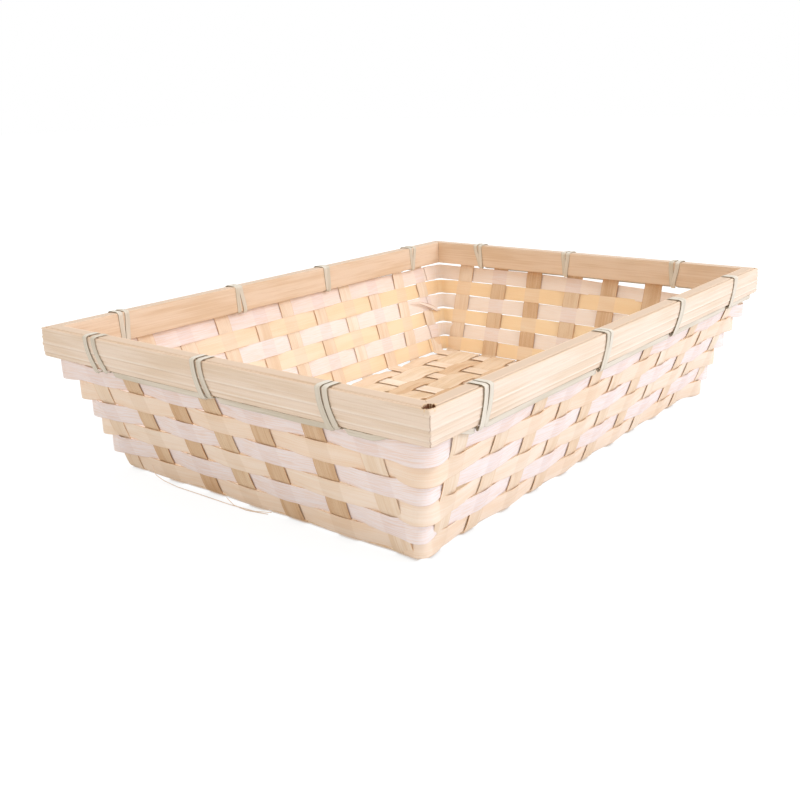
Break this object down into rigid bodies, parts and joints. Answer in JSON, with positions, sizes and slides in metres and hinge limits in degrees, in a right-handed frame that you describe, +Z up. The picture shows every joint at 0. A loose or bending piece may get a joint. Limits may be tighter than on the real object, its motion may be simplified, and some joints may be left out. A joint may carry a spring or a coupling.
{
  "type": "rectangular woven basket",
  "caption": "Shallow rectangular open basket of woven bamboo strips with sloping walls, a slat rim and a lashed ribbon.",
  "frame": {"origin": "on the surface the basket stands on, below the middle of its bounding box", "axes": "+X along the basket's length, +Y along its width, +Z up out of its open top"},
  "size_m": [0.4016, 0.2916, 0.0929],
  "materials": {
    "outer_slat": "bare split bamboo, sanded, fine lengthwise grain",
    "inner_slat": "bare split bamboo, fine lengthwise grain",
    "white_weaver": "whitewashed thin bamboo, matt",
    "natural_weaver": "bare thin bamboo, matt",
    "stake": "bare thin bamboo, matt",
    "filler": "bare thin bamboo, matt",
    "ribbon": "smooth grey-green cane skin, slight sheen"
  },
  "bodies": {
    "root": {"outer_rim": "outer_slat", "inner_rim": "inner_slat", "weaver_row_1": "white_weaver", "weaver_row_2": "natural_weaver", "weaver_row_3": "white_weaver", "weaver_row_4": "natural_weaver", "weaver_row_5": "white_weaver", "weaver_row_6": "natural_weaver", "cross_stake_01": "stake", "cross_stake_02": "stake", "cross_stake_03": "stake", "cross_stake_04": "stake", "cross_stake_05": "stake", "cross_stake_06": "stake", "cross_stake_07": "stake", "cross_stake_08": "stake", "cross_stake_09": "stake", "cross_stake_10": "stake", "cross_stake_11": "stake", "long_stake_1": "stake", "long_stake_2": "stake", "long_stake_3": "stake", "long_stake_4": "stake", "long_stake_5": "stake", "long_stake_6": "stake", "long_stake_7": "stake", "base_filler_1": "filler", "base_filler_2": "filler", "base_filler_3": "filler", "base_filler_4": "filler", "base_filler_5": "filler", "base_filler_6": "filler", "lashing_ribbon": "ribbon"}
  },
  "joints": []
}
